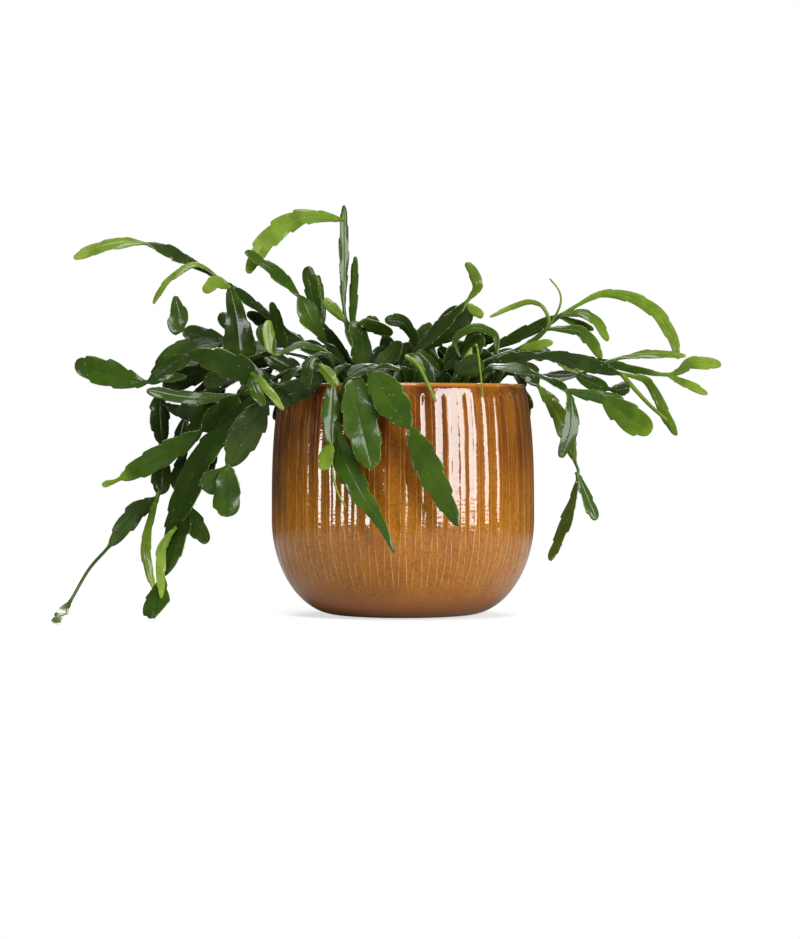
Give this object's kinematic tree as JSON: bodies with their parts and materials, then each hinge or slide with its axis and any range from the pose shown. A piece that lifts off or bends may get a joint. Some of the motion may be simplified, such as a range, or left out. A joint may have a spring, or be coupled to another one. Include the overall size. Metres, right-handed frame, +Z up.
{
  "type": "potted rhipsalis",
  "caption": "Leafless jungle cactus with flat, notched, arching and trailing green stems, growing from soil in a round fluted ceramic pot with an amber glaze.",
  "frame": {"origin": "centre of the pot's flat base, on the surface that it stands on", "axes": "+Z up through the pot, +X to the right along the plant's widest spread, -Y to the front"},
  "size_m": [0.4034, 0.2117, 0.249],
  "materials": {
    "amber_glaze": "glossy honey amber glaze over carved flutes",
    "potting_mix": "matt dark brown potting mix",
    "stem_green": "waxy green stem skin, lime on young pads"
  },
  "bodies": {
    "root": {"pot": "amber_glaze", "soil": "potting_mix", "stem_back_01": "stem_green", "stem_back_02": "stem_green", "stem_back_03": "stem_green", "stem_back_04": "stem_green", "stem_back_05": "stem_green", "stem_back_06": "stem_green", "stem_back_07": "stem_green", "stem_back_08": "stem_green", "stem_back_09": "stem_green", "stem_back_10": "stem_green", "stem_crown_01": "stem_green", "stem_crown_02": "stem_green", "stem_crown_03": "stem_green", "stem_crown_04": "stem_green", "stem_crown_05": "stem_green", "stem_crown_06": "stem_green", "stem_crown_07": "stem_green", "stem_crown_08": "stem_green", "stem_crown_09": "stem_green", "stem_crown_10": "stem_green", "stem_crown_11": "stem_green", "stem_crown_12": "stem_green", "stem_crown_13": "stem_green", "stem_crown_14": "stem_green", "stem_crown_15": "stem_green", "stem_crown_16": "stem_green", "stem_crown_17": "stem_green", "stem_crown_18": "stem_green", "stem_crown_19": "stem_green", "stem_crown_20": "stem_green", "stem_crown_21": "stem_green", "stem_crown_22": "stem_green", "stem_crown_23": "stem_green", "stem_front_01": "stem_green", "stem_front_02": "stem_green", "stem_front_03": "stem_green", "stem_front_04": "stem_green", "stem_left_01": "stem_green", "stem_left_02": "stem_green", "stem_left_03": "stem_green", "stem_left_04": "stem_green", "stem_left_05": "stem_green", "stem_left_06": "stem_green", "stem_left_07": "stem_green", "stem_left_08": "stem_green", "stem_left_09": "stem_green", "stem_left_10": "stem_green", "stem_right_01": "stem_green", "stem_right_02": "stem_green", "stem_right_03": "stem_green", "stem_right_04": "stem_green", "stem_right_05": "stem_green", "stem_right_06": "stem_green", "stem_right_07": "stem_green"}
  },
  "joints": []
}
